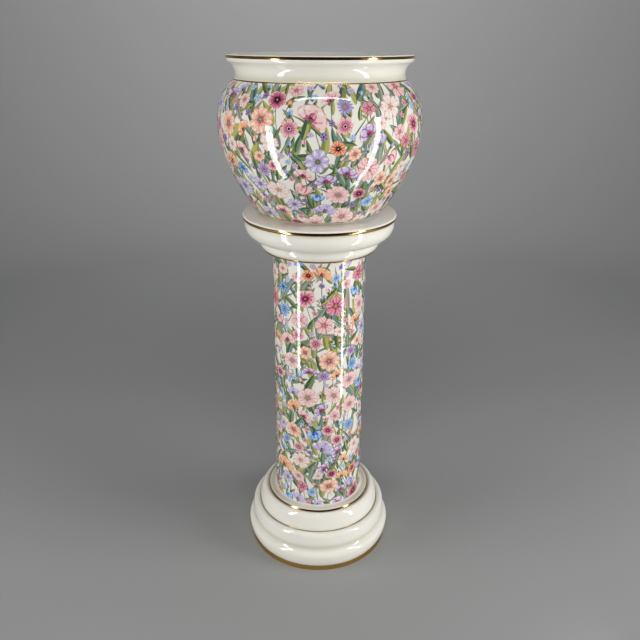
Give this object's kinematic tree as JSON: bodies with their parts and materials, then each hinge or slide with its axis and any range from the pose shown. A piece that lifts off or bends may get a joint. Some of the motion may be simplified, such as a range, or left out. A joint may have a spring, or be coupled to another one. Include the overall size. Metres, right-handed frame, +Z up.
{
  "type": "jardiniere on stand",
  "caption": "Floor-standing ceramic jardiniere pot that lifts off a round moulded pedestal, with a floral printed coat on pot and column and gilt bands.",
  "frame": {"origin": "centre of the pedestal's foot, on the floor", "axes": "+Z up along the axis that pot and pedestal are turned about; the piece is round, so +X and +Y are equivalent"},
  "size_m": [0.3238, 0.3238, 0.9],
  "materials": {
    "white_glaze": "ivory-white gloss glaze on cast earthenware",
    "printed_glaze": "all-over floral chintz print in pink, mauve, blue, coral and green on ivory white, under a gloss glaze",
    "gilding": "burnished gold on the glaze"
  },
  "bodies": {
    "pedestal": {"pedestal_base": "white_glaze", "pedestal_column": "white_glaze", "pedestal_capital": "white_glaze", "pedestal_printed_coat": "printed_glaze", "base_foot_gilt": "gilding", "base_line_gilt": "gilding", "base_ledge_gilt": "gilding", "capital_line_gilt": "gilding", "capital_band_gilt": "gilding"},
    "jardiniere": {"jardiniere_pot": "white_glaze", "jardiniere_printed_coat": "printed_glaze", "jardiniere_shoulder_gilt": "gilding", "jardiniere_rim_gilt": "gilding"}
  },
  "joints": [
    {"name": "jardiniere_lift", "type": "slide", "parent": "pedestal", "child": "jardiniere", "axis": [0, 0, 1], "range_m": [0, 0.3]}
  ]
}
